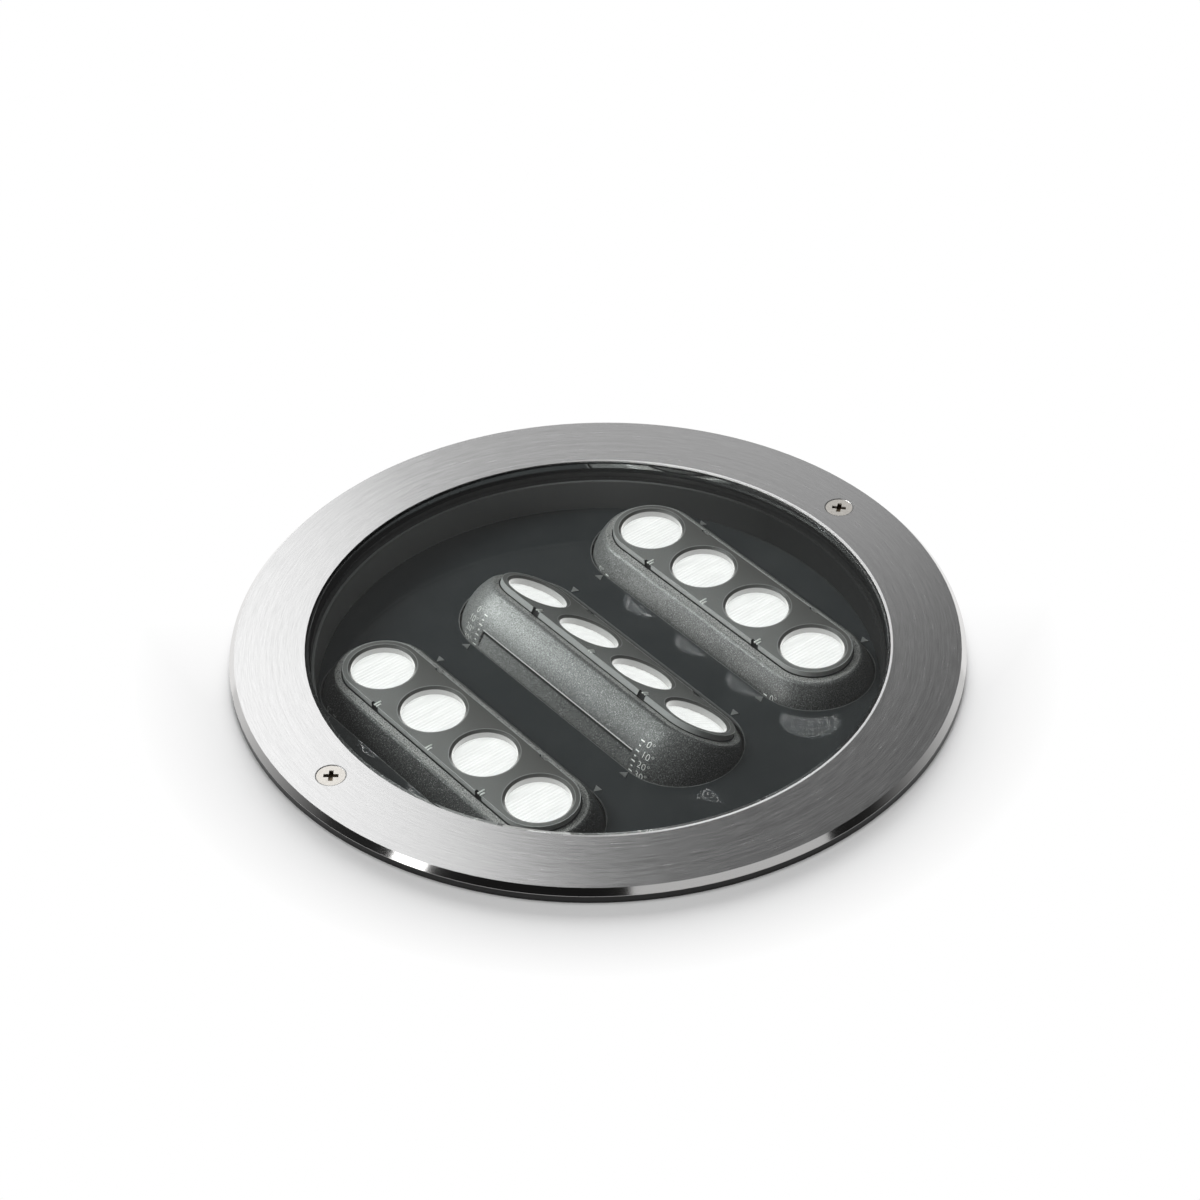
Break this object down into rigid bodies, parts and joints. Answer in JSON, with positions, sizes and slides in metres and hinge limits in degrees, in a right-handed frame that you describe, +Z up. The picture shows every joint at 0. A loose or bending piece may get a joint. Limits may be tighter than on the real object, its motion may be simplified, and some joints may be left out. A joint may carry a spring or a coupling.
{
  "type": "recessed in-ground light",
  "caption": "Round recessed in-ground light: brushed trim ring, flush glass, and tilting bars of lensed lamps in a black plate over a buried housing.",
  "frame": {"origin": "centre of the housing's foot, on the plane that the skirt stands on", "axes": "+Z up through the middle of the glass, +X across the light bars towards the right trim screw, +Y along the light bars"},
  "size_m": [0.278, 0.278, 0.15],
  "materials": {
    "ring_steel": "circular brushed stainless steel with a polished chamfer",
    "screw_steel": "plain stainless steel",
    "clear_glass": "clear tempered glass with a ground bevel",
    "black_rubber": "matt black rubber",
    "seat_black": "black coated cast ring",
    "housing_black": "black powder coated die casting",
    "wall_grey": "dark grey satin coating",
    "plate_black": "glossy blue-black coating",
    "bar_grey": "dark grey grained metallic coating",
    "board_white": "white solder mask",
    "chip_yellow": "yellow phosphor",
    "lens_white": "translucent ribbed optics",
    "cover_black": "black-brown satin moulding",
    "washer_grey": "grey bearing plastic",
    "bracket_steel": "galvanised steel",
    "tray_aluminium": "plain aluminium sheet and bar",
    "driver_white": "white moulded case",
    "driver_grey": "grey moulded lid",
    "terminal_cream": "cream moulding",
    "terminal_brass": "plain brass",
    "earth_green": "green passivated steel",
    "gland_metal": "satin nickel plated brass",
    "vent_black": "black moulding"
  },
  "bodies": {
    "fixture": {"trim_ring": "ring_steel", "trim_screws": "screw_steel", "glass": "clear_glass", "glass_seal": "black_rubber", "seat_ring": "seat_black", "seat_screws": "screw_steel", "flange_gasket": "black_rubber", "mounting_flange": "housing_black", "housing": "housing_black", "skirt": "housing_black", "inner_wall": "wall_grey", "mask_plate": "plate_black", "left_brackets": "bracket_steel", "middle_brackets": "bracket_steel", "right_brackets": "bracket_steel", "bracket_screws": "screw_steel", "tray": "tray_aluminium", "tray_posts": "tray_aluminium", "tray_screws": "screw_steel", "driver_case": "driver_white", "driver_lid": "driver_grey", "driver_screws": "screw_steel", "terminal_block": "terminal_cream", "terminal_screws": "terminal_brass", "earth_screw": "earth_green", "earth_washer": "terminal_brass", "gland_body": "gland_metal", "gland_washer": "black_rubber", "gland_locknut": "gland_metal", "gland_seal": "black_rubber", "gland_cap": "gland_metal", "vent_plug": "vent_black"},
    "left_bar": {"left_body": "bar_grey", "left_board": "board_white", "left_chips": "chip_yellow", "left_board_screws": "screw_steel", "left_lenses": "lens_white", "left_cover": "cover_black", "left_pins": "screw_steel", "left_washers": "washer_grey"},
    "middle_bar": {"middle_body": "bar_grey", "middle_board": "board_white", "middle_chips": "chip_yellow", "middle_board_screws": "screw_steel", "middle_lenses": "lens_white", "middle_cover": "cover_black", "middle_pins": "screw_steel", "middle_washers": "washer_grey"},
    "right_bar": {"right_body": "bar_grey", "right_board": "board_white", "right_chips": "chip_yellow", "right_board_screws": "screw_steel", "right_lenses": "lens_white", "right_cover": "cover_black", "right_pins": "screw_steel", "right_washers": "washer_grey"}
  },
  "joints": [
    {"name": "left_tilt", "type": "hinge", "parent": "fixture", "child": "left_bar", "pos_m": [-0.0662, 0, 0.1175], "axis": [0, 1, 0], "range_deg": [-30, 30]},
    {"name": "middle_tilt", "type": "hinge", "parent": "fixture", "child": "middle_bar", "pos_m": [0, 0, 0.1175], "axis": [0, 1, 0], "range_deg": [-60, 0]},
    {"name": "right_tilt", "type": "hinge", "parent": "fixture", "child": "right_bar", "pos_m": [0.0662, 0, 0.1175], "axis": [0, 1, 0], "range_deg": [-30, 30]}
  ]
}
